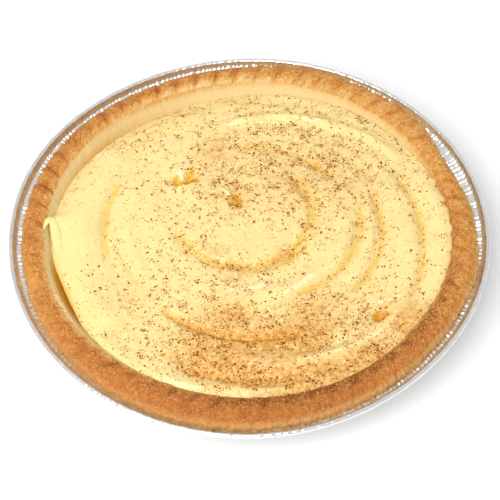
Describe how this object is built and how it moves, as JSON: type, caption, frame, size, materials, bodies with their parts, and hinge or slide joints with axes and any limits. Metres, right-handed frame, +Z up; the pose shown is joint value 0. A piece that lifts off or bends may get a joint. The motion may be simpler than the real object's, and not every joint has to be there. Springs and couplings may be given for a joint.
{
  "type": "custard tart in foil dish",
  "caption": "Round shortcrust tart filled with swirled pale custard and dusted with ground cinnamon, baked in a pleated aluminium foil dish with a rolled rim.",
  "frame": {"origin": "centre of the dish's box, on the surface that the dish stands on", "axes": "+Z up, out of the open top of the dish; -Y towards the near side of the picture"},
  "size_m": [0.2221, 0.2225, 0.0303],
  "materials": {
    "foil": "bright pressed foil, pleated and slightly crinkled",
    "shortcrust": "matte golden-brown baked shortcrust pastry, paler on its inner wall",
    "custard": "soft satin pale yellow custard with brown cinnamon specks"
  },
  "bodies": {
    "root": {"foil_dish": "foil", "pastry_case": "shortcrust", "custard_filling": "custard"}
  },
  "joints": []
}
